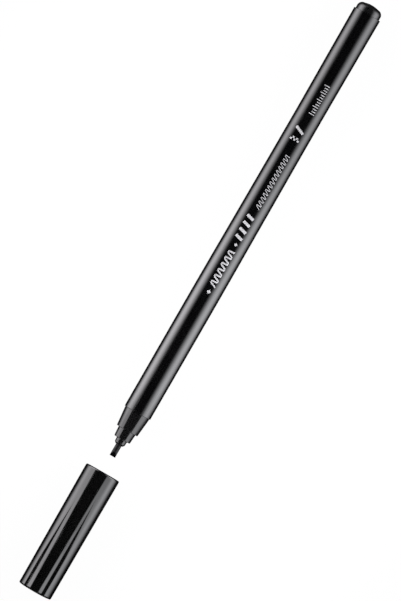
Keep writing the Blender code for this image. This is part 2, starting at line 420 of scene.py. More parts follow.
def worn_ends(look, start, end):
    """1 in fine chipped specks on the rims at two places along X."""
    rims = look.between(look.band(start + WEAR_REACH, end - WEAR_REACH, WEAR_FADE), 1.0, 0.0)
    specks = look.spread(look.noise(every(5200.0), detail=3.0), *SPECK_LEVELS, 0.0, 1.0)
    return look.math("MULTIPLY", rims, specks)


def gloss_black():
    """Barrel: polished moulding, with hair scratches that are dense where the cap rubs, and worn rims."""
    look = Nodes("gloss_black", (0.0027, 0.0027, 0.0030), 0.15, Specular_IOR_Level=1.0)
    cloud = look.noise(every(140.0), detail=3.0)
    wear = worn_ends(look, BARREL_X0, BARREL_X1)
    tone = look.plus(look.toned(cloud, 0.0, 0.12), wear, 0.6)
    look.colour(tone, (0.0024, 0.0024, 0.0027), (0.0105, 0.0105, 0.0110))
    rubbed = look.band(BARREL_X0, BARREL_X0 + CAP_COVER, RUB_FADE)
    scratches = look.math("MULTIPLY", hair_scratches(look), look.between(rubbed, 0.45, 1.0))
    smudged = look.plus(look.toned(cloud, 0.12, 0.16), scratches, 0.22)
    look.rough(look.plus(smudged, wear, 0.15))
    look.bump(look.noise(every(900.0), detail=2.0), 0.0045 * MM)
    look.bump(look.noise(every(9000.0), detail=2.0), 0.0015 * MM)
    look.bump(scratches, -0.0040 * MM)
    return look.material


def bluish(tone):
    """A grey with a very slight blue cast."""
    return (tone, tone, 1.04 * tone)


def satin_black(name, tone):
    """Nose, nib insert and tail plug: plain moulding with a fine spark-eroded grain."""
    look = Nodes(name, bluish(tone), 0.10, Specular_IOR_Level=0.95)
    cloud = look.noise(every(260.0), detail=3.0)
    look.colour(cloud, bluish(0.7 * tone), bluish(1.3 * tone))
    look.rough(look.toned(cloud, 0.08, 0.12))
    look.bump(look.noise(every(6500.0), detail=3.0), 0.0040 * MM)
    look.bump(look.noise(every(600.0), detail=2.0), 0.0030 * MM)
    return look.material


def cap_black():
    """Cap: high polish outside, with hair scratches and worn rims, and a plain matt bore."""
    look = Nodes("cap_black", (0.0045, 0.0045, 0.0045), 0.075, Specular_IOR_Level=1.0)
    cloud = look.noise(every(170.0), detail=3.0)
    inward = look.spread(look.radius(), CAP_BORE_MOUTH_R, CAP_BORE_MOUTH_R + 0.1 * MM, 1.0, 0.0)
    bore = look.math("MULTIPLY", inward, look.band(CAP_END_X + CAP_FLOOR, CAP_MOUTH_X, 0.3 * MM))
    wear = worn_ends(look, CAP_END_X, CAP_MOUTH_X)
    dulled = look.math("MAXIMUM", look.math("MULTIPLY", wear, 0.45), bore)
    tone = look.math("ADD", look.toned(cloud, 0.0, 0.12), dulled)
    look.colour(tone, (0.0036, 0.0036, 0.0036), (0.0170, 0.0170, 0.0172))
    scratches = hair_scratches(look)
    smudged = look.plus(look.toned(cloud, 0.06, 0.09), scratches, 0.16)
    look.rough(look.plus(smudged, dulled, 0.32))
    look.bump(look.noise(every(800.0), detail=2.0), 0.0030 * MM)
    look.bump(look.noise(every(9000.0), detail=2.0), 0.0010 * MM)
    look.bump(scratches, -0.0030 * MM)
    return look.material


def nib_fibre():
    """Bonded acrylic fibres, soaked with ink: long strands, and darker and wetter at the chisel."""
    look = Nodes("nib_fibre", (0.008, 0.008, 0.009), 0.5, Specular_IOR_Level=0.30)
    strands = look.noise(along(260.0, 9000.0), detail=4.0, roughness=0.6)
    dry = look.spread(look.axis("X"), NIB_X + DRY_START, NIB_X + DRY_END, 0.0, 1.0)
    tone = look.math("MULTIPLY", look.toned(strands, 0.15, 1.0), look.between(dry, 0.15, 1.0))
    look.colour(tone, (0.0010, 0.0010, 0.0012), (0.0105, 0.0105, 0.0115))
    look.rough(look.between(dry, 0.18, 0.40))
    raised = look.math("MULTIPLY", strands, look.between(dry, 0.3, 1.0))
    look.bump(raised, 0.012 * MM)
    look.bump(look.math("MULTIPLY", look.voronoi(along(2500.0, 12000.0)), dry), 0.006 * MM)
    return look.material


def inked_fibre():
    """Reservoir: fluffy lengthwise fibres, unevenly soaked."""
    look = Nodes("inked_fibre", (0.03, 0.03, 0.035), 0.85, Sheen_Weight=0.3, Sheen_Roughness=0.5)
    strands = look.noise(along(120.0, 3500.0), detail=5.0, roughness=0.65)
    look.colour(strands, (0.012, 0.012, 0.015), (0.055, 0.055, 0.066))
    look.rough(look.spread(strands, 0.2, 0.8, 0.75, 0.95))
    look.bump(strands, 0.05 * MM)
    return look.material


def clear_film():
    """Thin polypropylene film with faint draw lines."""
    look = Nodes("clear_film", (0.60, 0.61, 0.62), 0.25, Alpha=0.35)
    lines = look.noise(along(40.0, 2500.0), detail=2.0)
    look.colour(lines, (0.52, 0.53, 0.55), (0.66, 0.67, 0.68))
    look.rough(look.toned(lines, 0.20, 0.34))
    look.bump(lines, 0.004 * MM)
    return look.material


def liner_grey():
    """Cap liner: soft natural polyethylene, slightly waxy."""
    look = Nodes("liner_grey", (0.30, 0.30, 0.31), 0.45, Subsurface_Weight=0.15, Subsurface_Scale=0.001)
    cloud = look.noise(every(420.0), detail=3.0)
    look.colour(cloud, (0.26, 0.26, 0.27), (0.34, 0.34, 0.35))
    look.rough(look.toned(cloud, 0.40, 0.52))
    look.bump(look.noise(every(3000.0), detail=3.0), 0.004 * MM)
    return look.material


def print_white():
    """Pad-printed ink: opaque white, with a faint mottle and soft relief."""
    look = Nodes("print_white", (0.80, 0.80, 0.81), 0.42)
    mottle = look.noise(every(5200.0), detail=3.0)
    look.colour(look.spread(mottle, 0.25, 0.6, 0.0, 1.0), (0.72, 0.72, 0.74), (0.86, 0.86, 0.87))
    look.rough(look.toned(mottle, 0.36, 0.50))
    look.bump(mottle, 0.002 * MM)
    return look.material


# ---- pen pieces


BARREL_RINGS = 96
GROOVE_FROM_FRONT = 3.75 * MM
GROOVE_FROM_END = 3.0 * MM
# The rims are rounded less than in the CAD, whose edges are EDGE_R wide
FRONT_RIM_R = 0.05 * MM
REAR_RIM_R = 0.06 * MM
# The barrel's bore and grooves lie inside this radius, and its outer face outside it
BARREL_SKIN_R = 3.9 * MM


def barrel_curve():
    """The barrel's outer (x, r) stations, between the tops of the CAD's rounded rims."""
    rim = 0.9 * EDGE_R
    rings = node_rings("barrel", BARREL_SKIN_R)
    return [(x, r) for x, r in rings if BARREL_X0 + rim < x < BARREL_X1 - rim]


def barrel_tube(material):
    """Waisted tube with rounded rims, and a snap groove near each end of its bore."""
    stations = barrel_curve()
    front_r, rear_r = stations[0][1], stations[-1][1]
    xs = [mix(BARREL_X0 + EDGE_R, BARREL_X1 - EDGE_R, i / BARREL_RINGS) for i in range(1, BARREL_RINGS)]
    outer = [(x, curve_through(stations, x)) for x in xs]
    profile = [
        *arc(BARREL_X0 + FRONT_RIM_R, front_r - FRONT_RIM_R, FRONT_RIM_R, -90, 0),
        *outer,
        *arc(BARREL_X1 - REAR_RIM_R, rear_r - REAR_RIM_R, REAR_RIM_R, 0, 90),
        (BARREL_X1, BORE_R),
        *bead(BARREL_X1 - GROOVE_FROM_END, BORE_R)[::-1],
        *bead(BARREL_X0 + GROOVE_FROM_FRONT, BORE_R)[::-1],
        (BARREL_X0, BORE_R),
    ]
    mesh = turned_mesh("barrel_tube", profile)
    return new_object("barrel_tube", mesh, "pen", material, ["barrel"])


PLUG_R = 4.01 * MM
PLUG_CROWN = 0.35 * MM
PLUG_CORNER_R = 1.7 * MM
PLUG_WALL = 0.9 * MM
PLUG_FLOOR = 1.2 * MM
PLUG_CHAMFER = 0.02 * MM
# The round mark that the mould's gate leaves in the middle of the plug and of the cap's end
GATE_R = 0.55 * MM
GATE_DEPTH = 0.12 * MM
GATE_CHAMFER = 0.06 * MM
# How much of the dome's fall the plug's gate mark follows
GATE_FALL = 0.35


def tail_plug(material):
    """Domed plug with a small sunk gate mark in its centre and a hollow, beaded spigot."""
    shoulder = BARREL_X1 + SEAT_GAP
    corner_x = TAIL_X - PLUG_CROWN - PLUG_CORNER_R
    corner_r = PLUG_R - PLUG_CORNER_R
    floor_x = TAIL_X - PLUG_CROWN - PLUG_FLOOR
    rings = 16
    crown = []
    for i in range(rings):
        r = corner_r * i / rings
        fall = PLUG_CROWN * (r / corner_r) ** 2
        drop = GATE_DEPTH + GATE_FALL * fall if r < GATE_R else fall
        crown.append((TAIL_X - drop, r))
    profile = [
        *crown,
        *arc(corner_x, corner_r, PLUG_CORNER_R, 90, 0, count=20),
        (shoulder + PLUG_CHAMFER, PLUG_R),
        (shoulder, PLUG_R - PLUG_CHAMFER),
        (shoulder, SPIGOT_R),
        *bead(BARREL_X1 - GROOVE_FROM_END, SPIGOT_R)[::-1],
        *arc(PLUG_SPIGOT_X + EDGE_R, SPIGOT_R - EDGE_R, EDGE_R, 0, -90),
        (PLUG_SPIGOT_X, SPIGOT_R - PLUG_WALL),
        (floor_x, SPIGOT_R - PLUG_WALL),
        (floor_x, 0.0),
    ]
    mesh = turned_mesh("tail_plug", profile, closed=False)
    return new_object("tail_plug", mesh, "pen", material, ["rear_plug"])


CONE_FRONT_R = 3.53 * MM
CONE_REAR_R = 4.13 * MM
HOLDER_BODY_R = 2.45 * MM
CONE_BORE_R = HOLDER_BODY_R + 0.03 * MM
CONE_REAR_RIM_R = EDGE_R / 2
PARTING_HEIGHT = 0.012 * MM
PARTING_WIDTH = math.radians(1.6)
PARTING_STEPS = 288


def parting_line(x, r, angle):
    """A point's radius with two faint raised lines, on +Y and -Y, where the mould halves met."""
    off = min(abs(angle - math.pi / 2), abs(angle - 3 * math.pi / 2))
    return r + PARTING_HEIGHT * (1 - smooth(off, 0.0, PARTING_WIDTH))


def nose_section(material):
    """Tapered nose with parting lines, a rounded front lip and a snap-in spigot."""
    seat = BARREL_X0 - SEAT_GAP
    taper_end = seat - CONE_REAR_RIM_R
    lean = math.degrees(math.atan2(CONE_REAR_R - CONE_FRONT_R, seat - CONE_X0))
    rings = 12
    taper = [
        (mix(CONE_X0 + EDGE_R, taper_end, i / rings), mix(CONE_FRONT_R, CONE_REAR_R, i / rings))
        for i in range(1, rings)
    ]
    profile = [
        (CONE_X0, CONE_BORE_R),
        *arc(CONE_X0 + EDGE_R, CONE_FRONT_R - EDGE_R, EDGE_R, -90, -lean),
        *taper,
        *arc(taper_end, CONE_REAR_R - CONE_REAR_RIM_R, CONE_REAR_RIM_R, -lean, 90, count=5),
        (seat, SPIGOT_R),
        *bead(BARREL_X0 + GROOVE_FROM_FRONT, SPIGOT_R),
        *arc(NOSE_END_X - EDGE_R, SPIGOT_R - EDGE_R, EDGE_R, 0, 90),
        (NOSE_END_X, CONE_BORE_R),
    ]

    def shape(x, r, angle):
        return parting_line(x, r, angle) if x < seat - EDGE_R and r > CONE_FRONT_R - EDGE_R else r

    mesh = turned_mesh("nose_section", profile, shape=shape, steps=PARTING_STEPS)
    return new_object("nose_section", mesh, "pen", material, ["nose_cone"])


COLLAR_LENGTH = 1.85 * MM
COLLAR_FRONT_R = 1.65 * MM
COLLAR_REAR_R = 1.75 * MM
# The collar's lip: a rounded front edge, a cone that leans this many degrees, and a soft shoulder
LIP_LENGTH = 0.70 * MM
LIP_LEAN = 42.0
LIP_FRONT_R = 1.175 * MM
LIP_EDGE_R = 0.05 * MM
LIP_SHOULDER_R = 0.40 * MM
SLEEVE_LENGTH = 3.05 * MM
SLEEVE_EDGE_R = 0.30 * MM
SLEEVE_FRONT_R = 2.69 * MM
SLEEVE_REAR_R = 2.87 * MM
SLEEVE_CHAMFER = 0.04 * MM
HOLDER_BORE_R = NIB_R + 0.05 * MM
HOLDER_LEAD_IN = 0.06 * MM
FILLET_R = 0.12 * MM
# A round fillet's middle point stands this share of its radius off each of its two faces
FILLET_MIDDLE = 0.3
VENT_WIDTH = 0.36 * MM
VENT_REACH = 1.28 * MM
VENT_ANGLES = (math.radians(45.0), math.radians(-45.0))
# How much longer the cutter is than the insert
VENT_SPARE = 2 * MM


def vent_cutter(angle):
    """A long thin box through the insert's axis, which cuts two opposite slots."""
    mesh = bpy.data.meshes.new("vent_cutter")
    box = bmesh.new()
    bmesh.ops.create_cube(box, size=1.0)
    length = HOLDER_X1 - HOLDER_X0 + VENT_SPARE
    bmesh.ops.scale(box, vec=(length, 2 * VENT_REACH, VENT_WIDTH), verts=box.verts)
    box.to_mesh(mesh)
    box.free()
    cutter = placed("vent_cutter", mesh)
    cutter.location = ((HOLDER_X0 + HOLDER_X1) / 2, 0.0, 0.0)
    cutter.rotation_euler = (angle, 0.0, 0.0)
    return cutter


def nib_insert(material):
    """Stepped insert with a coned lip, small root fillets and four air slots round the nib."""
    sleeve_x0 = HOLDER_X0 + COLLAR_LENGTH
    sleeve_x1 = sleeve_x0 + SLEEVE_LENGTH
    lip_rear_r = mix(COLLAR_FRONT_R, COLLAR_REAR_R, LIP_LENGTH / COLLAR_LENGTH)
    shoulder_r = lip_rear_r - LIP_SHOULDER_R
    profile = [
        (HOLDER_X0 + HOLDER_LEAD_IN, HOLDER_BORE_R),
        (HOLDER_X0, HOLDER_BORE_R + HOLDER_LEAD_IN),
        *arc(HOLDER_X0 + LIP_EDGE_R, LIP_FRONT_R, LIP_EDGE_R, -90, -LIP_LEAN, count=4),
        *arc(HOLDER_X0 + LIP_LENGTH, shoulder_r, LIP_SHOULDER_R, -LIP_LEAN, 0, count=10),
        (sleeve_x0 - FILLET_R, COLLAR_REAR_R - 0.01 * MM),
        (sleeve_x0 - FILLET_MIDDLE * FILLET_R, COLLAR_REAR_R + FILLET_MIDDLE * FILLET_R),
        (sleeve_x0, COLLAR_REAR_R + FILLET_R),
        *arc(sleeve_x0 + SLEEVE_EDGE_R, SLEEVE_FRONT_R - SLEEVE_EDGE_R, SLEEVE_EDGE_R, -90, 0),
        (sleeve_x1 - SLEEVE_CHAMFER, SLEEVE_REAR_R),
        (sleeve_x1, SLEEVE_REAR_R - SLEEVE_CHAMFER),
        (sleeve_x1, HOLDER_BODY_R),
        *arc(HOLDER_X1 - EDGE_R, HOLDER_BODY_R - EDGE_R, EDGE_R, 0, 90, count=4),
        (HOLDER_X1, HOLDER_BORE_R),
    ]
    mesh = turned_mesh("nib_insert", profile, steps=SMALL_STEPS)
    holder = new_object("nib_insert", mesh, "pen", material, ["nib_holder"])
    for angle in VENT_ANGLES:
        cutter = vent_cutter(angle)
        cut = holder.modifiers.new("Vent", "BOOLEAN")
        cut.object = cutter
        cut.solver = "EXACT"
        bpy.context.view_layer.update()
        evaluated = holder.evaluated_get(bpy.context.evaluated_depsgraph_get())
        done = bpy.data.meshes.new_from_object(evaluated)
        holder.modifiers.remove(cut)
        holder.data = done
        bpy.data.objects.remove(cutter)
    holder.data.name = "nib_insert"
    shade(holder.data)
    return holder


CHISEL_LENGTH = 1.55 * MM
CHISEL_EDGE = 0.30 * MM
NIB_POINT_LENGTH = 3.0 * MM
NIB_POINT_R = 0.25 * MM
STRAND_DEPTH = 0.018 * MM
STRANDS = 34
STRAND_WANDER = 0.05
FACET_SOFTNESS = 0.05 * MM
# The nib's rings lie closer together as far as this share of the chisel's length
CLOSE_RINGS_REACH = 1.15
# Rings inside the nib's front face, and the least one counted, as shares of its radius
FACE_SHARES = (0.25, 0.5, 0.75, 0.92)
LEAST_SHARE = 0.01


def soft_limit(value, limit, softness):
    """value, held under limit with a rounded turn."""
    return max(value - softness * math.log1p(math.exp((value - limit) / softness)), 0.0)


def fibre_nib(material):
    """Fibre rod with strands along it, a chisel softened by use in front, and a blunt point behind."""
    steps = 4 * SMALL_STEPS
    front_rings, rear_rings = 30, 24
    front_end = NIB_X + CLOSE_RINGS_REACH * CHISEL_LENGTH
    front = [mix(NIB_X, front_end, i / front_rings) for i in range(front_rings + 1)]
    back_x = NIB_END_X - NIB_POINT_LENGTH
    middle = [mix(front_end, back_x, i / rear_rings) for i in range(1, rear_rings + 1)]
    # Both ends close through rings that shrink to the axis
    profile = [
        (NIB_X, 0.0),
        *[(NIB_X, NIB_R * share) for share in FACE_SHARES],
        *[(x, NIB_R) for x in front + middle],
        (NIB_END_X - 0.1 * MM, NIB_POINT_R + 0.03 * MM),
        (NIB_END_X, NIB_POINT_R - 0.05 * MM),
        (NIB_END_X, 0.0),
    ]

    def strand(x, r, angle):
        """Fibre bundles as shallow flutes that wander slightly along the rod."""
        wander = STRAND_WANDER * noise.noise(Vector((x / (4 * MM), math.cos(angle), math.sin(angle))))
        flute = abs(math.sin(STRANDS / 2 * (angle + wander)))
        uneven = 0.5 + 0.5 * noise.noise(Vector((7 * math.cos(angle), 7 * math.sin(angle), x / (3 * MM))))
        return r - STRAND_DEPTH * (1 - flute) * uneven * min(r / NIB_R, 1.0)

    mesh = turned_mesh("fibre_nib", profile, steps=steps, closed=False, shape=strand)
    slope = (NIB_R - CHISEL_EDGE / 2) / CHISEL_LENGTH
    for vertex in mesh.vertices:
        # The chisel's facets face +Z and -Z. A ring inside the front face keeps its share of the height
        facet = CHISEL_EDGE / 2 + (vertex.co.x - NIB_X) * slope
        share = max(math.hypot(vertex.co.y, vertex.co.z) / NIB_R, LEAST_SHARE)
        height = share * soft_limit(abs(vertex.co.z) / share, facet, FACET_SOFTNESS)
        vertex.co.z = math.copysign(height, vertex.co.z)
    mesh.update()
    mesh.shade_smooth()
    return new_object("fibre_nib", mesh, "pen", material, ["nib"])


CORE_GAP = 0.20 * MM
CORE_CORNER = 0.2 * MM
CORE_RIM = 0.3 * MM
FOLDS = 26
FOLD_DEPTH = 0.12 * MM


def ink_core(material):
    """Bonded fibre rod with shallow lengthwise folds, and a pocket for the back of the nib."""
    radius = WRAP_R - CORE_GAP
    pocket_x = NIB_END_X + 0.05 * MM
    taper_x = NIB_END_X - NIB_POINT_LENGTH
    side_x0, side_x1 = CORE_X0 + CORE_CORNER, CORE_X1 - CORE_CORNER
    rings = 60
    profile = [
        (pocket_x, 0.0),
        (pocket_x, NIB_POINT_R),
        (taper_x, NIB_R + 0.03 * MM),
        (side_x0, NIB_R + 0.05 * MM),
        (CORE_X0, NIB_R + CORE_CORNER),
        (CORE_X0, radius - CORE_RIM),
        *[(mix(side_x0, side_x1, i / rings), radius) for i in range(rings + 1)],
        (CORE_X1, radius - CORE_RIM),
        (CORE_X1, 0.0),
    ]

    def folds(x, r, angle):
        """Folds on the outside, which deepen, fade and wander along the rod."""
        if r < radius - 0.5 * MM:
            return r
        depth = 0.5 + 0.5 * noise.noise(Vector((4 * math.cos(angle), 4 * math.sin(angle), x / (14 * MM))))
        ripple = 0.5 + 0.5 * math.cos(FOLDS * angle + 2 * noise.noise(Vector((x / (20 * MM), 3.0, 1.0))))
        return r - FOLD_DEPTH * depth * ripple

    mesh = turned_mesh("ink_core", profile, steps=SMALL_STEPS * 2, closed=False, shape=folds)
    return new_object("ink_core", mesh, "pen", material, ["ink_reservoir"])


FILM = 0.05 * MM
FILM_AIR = 0.02 * MM
FILM_TURNS = 1.12
# Where the roll starts, as an angle in radians
FILM_START = 0.6


def film_wrap(material):
    """Film rolled round the reservoir, with its free edge lying over the start of the roll."""
    steps, rings = 128, 24
    # The roll's end lies outside its start by one film and a little air
    step_out = FILM + FILM_AIR
    start_r = WRAP_R - 0.01 * MM - step_out
    turn = 2 * math.pi
    form = bmesh.new()

    def layer(offset):
        """A grid of points on the roll's outer or inner face."""
        grid = []
        for i in range(rings + 1):
            x = mix(CORE_X0, CORE_X1, i / rings)
            row = []
            for j in range(steps + 1):
                angle = turn * FILM_TURNS * j / steps
                rise = smooth(angle, 1.1 * (FILM_TURNS - 1) * turn, 0.4 * turn)
                r = start_r + step_out * rise + offset
                a = angle + FILM_START
                row.append(form.verts.new((x, r * math.sin(a), r * math.cos(a))))
            grid.append(row)
        return grid

    top, under = layer(0.0), layer(-FILM)
    for i in range(rings):
        for j in range(steps):
            form.faces.new([top[i][j], top[i][j + 1], top[i + 1][j + 1], top[i + 1][j]])
            form.faces.new([under[i][j], under[i + 1][j], under[i + 1][j + 1], under[i][j + 1]])
    for i in range(rings):
        for j in (0, steps):
            form.faces.new([top[i][j], top[i + 1][j], under[i + 1][j], under[i][j]])
    for j in range(steps):
        for i in (0, rings):
            form.faces.new([top[i][j], top[i][j + 1], under[i][j + 1], under[i][j]])
    mesh = finished(form, "film_wrap")
    return new_object("film_wrap", mesh, "pen", material, ["reservoir_wrap"])


# ---- printed marks


# How far the ink stands out of the barrel, and reaches into it so that no gap shows
INK_HEIGHT = 0.018 * MM
INK_SINK = 0.012 * MM
TURN_STEPS = 20
LEG_STEPS = 6


def heading(path, i):
    """The direction of a path at one of its points, as an angle."""
    before, after = path[max(i - 1, 0)], path[min(i + 1, len(path) - 1)]
    return math.atan2(after[1] - before[1], after[0] - before[0])


def stroke_outline(path, widths):
    """Left and right edge points of a pen stroke that follows path with the given widths."""
    left, right = [], []
    for i, (u, v) in enumerate(path):
        angle = heading(path, i)
        du, dv = -math.sin(angle) * widths[i] / 2, math.cos(angle) * widths[i] / 2
        left.append((u + du, v + dv))
        right.append((u - du, v - dv))
    return left, right


def broad_nib(path, broad, thin, nib_angle):
    """A stroke as a broad nib draws it: widest across the nib's edge, thin along it."""
    widths = [mix(thin, broad, abs(math.sin(heading(path, i) - nib_angle))) for i in range(len(path))]
    return stroke_outline(path, widths)


def line(start, end, count=8):
    """Points on a straight stroke."""
    return [(mix(start[0], end[0], i / count), mix(start[1], end[1], i / count)) for i in range(count + 1)]


def printed(name, strokes, material):
    """Thin ink bodies wrapped on the barrel. Stroke points are (along X, round the barrel) in metres."""
    stations = barrel_curve()
    form = bmesh.new()

    def wrapped(u, v, lift):
        radius = curve_through(stations, u)
        angle = v / radius
        r = radius + lift
        return form.verts.new((u, r * math.sin(angle), r * math.cos(angle)))

    for left, right in strokes:
        rows = []
        for a, b in zip(left, right, strict=True):
            middle = [(mix(a[0], b[0], s), mix(a[1], b[1], s)) for s in (0.0, 0.5, 1.0)]
            rows.append(
                [wrapped(*p, INK_HEIGHT) for p in middle] + [wrapped(*p, -INK_SINK) for p in middle[::-1]]
            )
        corners = len(rows[0])
        for one, two in zip(rows, rows[1:], strict=False):
            for i in range(corners):
                j = (i + 1) % corners
                form.faces.new([one[i], one[j], two[j], two[i]])
        form.faces.new(rows[0][::-1])
        form.faces.new(rows[-1])
    return new_object(name, finished(form, name), "pen", material)


PRINT_X0 = BARREL_X0 + 41.5 * MM
# Every row of marks stands on one line along the barrel, a little off its top
BASE_LINE = -1.35 * MM
# Where the marks stand, and how far apart those in a row are
BOLD_WAVE_X = PRINT_X0 + 2.4 * MM
LAST_LOZENGE_X = PRINT_X0 + 16.3 * MM
BARS_X = PRINT_X0 + 18.9 * MM
BAR_STEP = 2.3 * MM
FINE_WAVE_X = PRINT_X0 + 29.2 * MM
LADDER_X = PRINT_X0 + 52.6 * MM
TICKS_X = PRINT_X0 + 62.1 * MM
TICK_STEP = 0.8 * MM


def slanted_wave(x0, waves, period, height, turn_r, slant):
    """A zigzag of straight legs and round turns, standing on the base line."""
    run, rise = period / 2, height - 2 * turn_r
    lean = math.atan2(rise, run) + math.asin(2 * turn_r / math.hypot(run, rise))
    path = []
    for i in range(2 * waves + 1):
        side = 1 if i % 2 else -1
        start = 0.0 if i == 0 else side * lean
        end = 0.0 if i == 2 * waves else -side * lean
        turn = []
        for step in range(TURN_STEPS + 1):
            angle = mix(start, end, step / TURN_STEPS)
            u = i * run - side * turn_r * math.sin(angle)
            v = (height + side * rise) / 2 + side * turn_r * math.cos(angle)
            turn.append((x0 + u + slant * v, BASE_LINE + v))
        if path:
            path += line(path[-1], turn[0], LEG_STEPS)[1:-1]
        path += turn
    return path


def bold_strokes(material):
    """Bold practice waves, with a lozenge before and after, and four heavy slanted bars."""
    height, period = 1.85 * MM, 2.05 * MM
    broad, thin = 0.50 * MM, 0.24 * MM
    turn_r, slant = 0.38 * MM, 0.18
    bar_width, bar_height, bar_lean = 0.95 * MM, 2.45 * MM, 0.7 * MM
    strokes = []

    def lozenge(x, size):
        point = 0.02 * MM
        middle = BASE_LINE + height / 2
        strokes.append(stroke_outline(line((x, middle), (x + size, middle), 2), [point, size, point]))

    lozenge(PRINT_X0, 1.3 * MM)
    waves, bars = 6, 4
    wave = slanted_wave(BOLD_WAVE_X, waves, period, height, turn_r, slant)
    strokes.append(broad_nib(wave, broad, thin, math.radians(8.0)))
    lozenge(LAST_LOZENGE_X, 1.1 * MM)
    for i in range(bars):
        x = BARS_X + BAR_STEP * i
        bar = line((x, BASE_LINE), (x + bar_lean, BASE_LINE + bar_height))
        strokes.append(broad_nib(bar, bar_width, thin, math.radians(12.0)))
    return printed("print_bold_strokes", strokes, material)


def fine_strokes(material):
    """A line of fine, steeply slanted waves."""
    height, period = 1.45 * MM, 1.32 * MM
    broad, thin = 0.21 * MM, 0.11 * MM
    turn_r, slant, waves = 0.20 * MM, 0.32, 14
    wave = slanted_wave(FINE_WAVE_X, waves, period, height, turn_r, slant)
    strokes = [broad_nib(wave, broad, thin, math.radians(10.0))]
    return printed("print_fine_strokes", strokes, material)


def width_ladder(material):
    """A staggered ladder of small squares, with one broad slanted stroke beside it."""
    squares, side, filled = 5, 0.59 * MM, 0.98
    bar_x, bar_lean = LADDER_X + 2.9 * MM, 1.3 * MM
    broad, thin = 0.92 * MM, 0.3 * MM
    strokes = []
    for i in range(squares):
        x = LADDER_X + (i % 2) * side
        v = BASE_LINE + (i + 0.5) * side
        strokes.append(stroke_outline(line((x, v), (x + side, v), 2), [filled * side] * 3))
    bar = line((bar_x, BASE_LINE), (bar_x + bar_lean, BASE_LINE + squares * side))
    strokes.append(broad_nib(bar, broad, thin, math.radians(15.0)))
    return printed("print_width_ladder", strokes, material)


def tick_row(material):
    """A row of fine ticks, every third one tall."""
    tall, short, width, ticks = 1.75 * MM, 1.25 * MM, 0.26 * MM, 13
    strokes = []
    for i in range(ticks):
        x = TICKS_X + TICK_STEP * i
        tick = line((x, BASE_LINE), (x, BASE_LINE + (short if i % 3 else tall)))
        strokes.append(stroke_outline(tick, [width] * len(tick)))
    return printed("print_tick_row", strokes, material)


# ---- cap pieces


def cap_outer(material):
    """Tapered cup with rounded rims, a low crown with a gate mark, and a snap ring in its bore."""
    corner_x = CAP_END_X + CAP_CROWN + CAP_CORNER_R
    corner_r = CAP_END_R - CAP_CORNER_R
    floor_x = CAP_END_X + CAP_FLOOR
    mouth_corner_x = CAP_MOUTH_X - CAP_CORNER_R
    rings, crown_rings = 40, 12
    crown = []
    for i in range(crown_rings):
        share = i / crown_rings
        crown.append((CAP_END_X + CAP_CROWN * share**2, mix(CAP_FLAT_R, corner_r, share)))
    wall = [
        (mix(corner_x, mouth_corner_x, i / rings), mix(CAP_END_R, CAP_MOUTH_R, i / rings))
        for i in range(1, rings)
    ]
    profile = [
        (CAP_END_X + GATE_DEPTH, 0.0),
        (CAP_END_X + GATE_DEPTH, GATE_R - GATE_CHAMFER),
        (CAP_END_X, GATE_R),
        *crown,
        *arc(corner_x, corner_r, CAP_CORNER_R, -90, 0, count=12),
        *wall,
        *arc(mouth_corner_x, CAP_MOUTH_R - CAP_CORNER_R, CAP_CORNER_R, 0, 90, count=12),
        (CAP_MOUTH_X, CAP_BORE_MOUTH_R + CAP_LEAD_IN),
        (CAP_MOUTH_X - CAP_LEAD_IN, CAP_BORE_MOUTH_R),
        *bead(CAP_MOUTH_X - SNAP_RING_DEPTH, CAP_BORE_MOUTH_R, height=-SNAP_RING_HEIGHT)[::-1],
        (floor_x, CAP_BORE_END_R),
        (floor_x, 0.0),
    ]
    mesh = turned_mesh("cap_outer", profile, closed=False)
    return new_object("cap_outer", mesh, "cap", material, ["cap_shell"])


def cap_inner(material):
    """Inner cup with a flange at its root and a soft lip."""
    flange_x = LINER_X0 + LINER_FLANGE_LENGTH
    flange_r = CAP_BORE_END_R - 0.03 * MM
    floor_x = LINER_X0 + LINER_FLOOR
    chamfer = 0.1 * MM
    profile = [
        (LINER_X0, 0.0),
        (LINER_X0, flange_r - chamfer),
        (LINER_X0 + chamfer, flange_r),
        (flange_x - chamfer, flange_r),
        (flange_x, flange_r - chamfer),
        (flange_x + 0.05 * MM, LINER_R + chamfer),
        (flange_x + 0.15 * MM, LINER_R),
        *arc(LINER_X1 - LINER_LIP_R, LINER_R - LINER_LIP_R, LINER_LIP_R, 0, 90),
        *arc(LINER_X1 - LINER_LIP_R, LINER_BORE_R + LINER_LIP_R, -LINER_LIP_R, -90, 0),
        (floor_x, LINER_BORE_R),
        (floor_x, 0.0),
    ]
    mesh = turned_mesh("cap_inner", profile, closed=False, steps=SMALL_STEPS)
    return new_object("cap_inner", mesh, "cap", material, ["cap_liner"])


# ---- studio


VIEW_ROLL = math.radians(60.04)
VIEW_CENTRE = (-0.91 * MM, 0.41 * MM)
VIEW_HEIGHT = 180.3 * MM
LENS = 800.0
SENSOR = 36.0


def make_camera():
    """Looks straight down at the pen from far away, rolled so that the tail points up and right."""
    data = bpy.data.cameras.new("camera")
    data.lens = LENS
    data.sensor_width = SENSOR
    camera = placed("camera", data)
    camera.location = (*VIEW_CENTRE, VIEW_HEIGHT * LENS / SENSOR)
    camera.rotation_euler = (0.0, 0.0, -VIEW_ROLL)
    bpy.context.scene.camera = camera


FLOOR_Z = cad_box[0].z
FLOOR_SIZE = 12.0


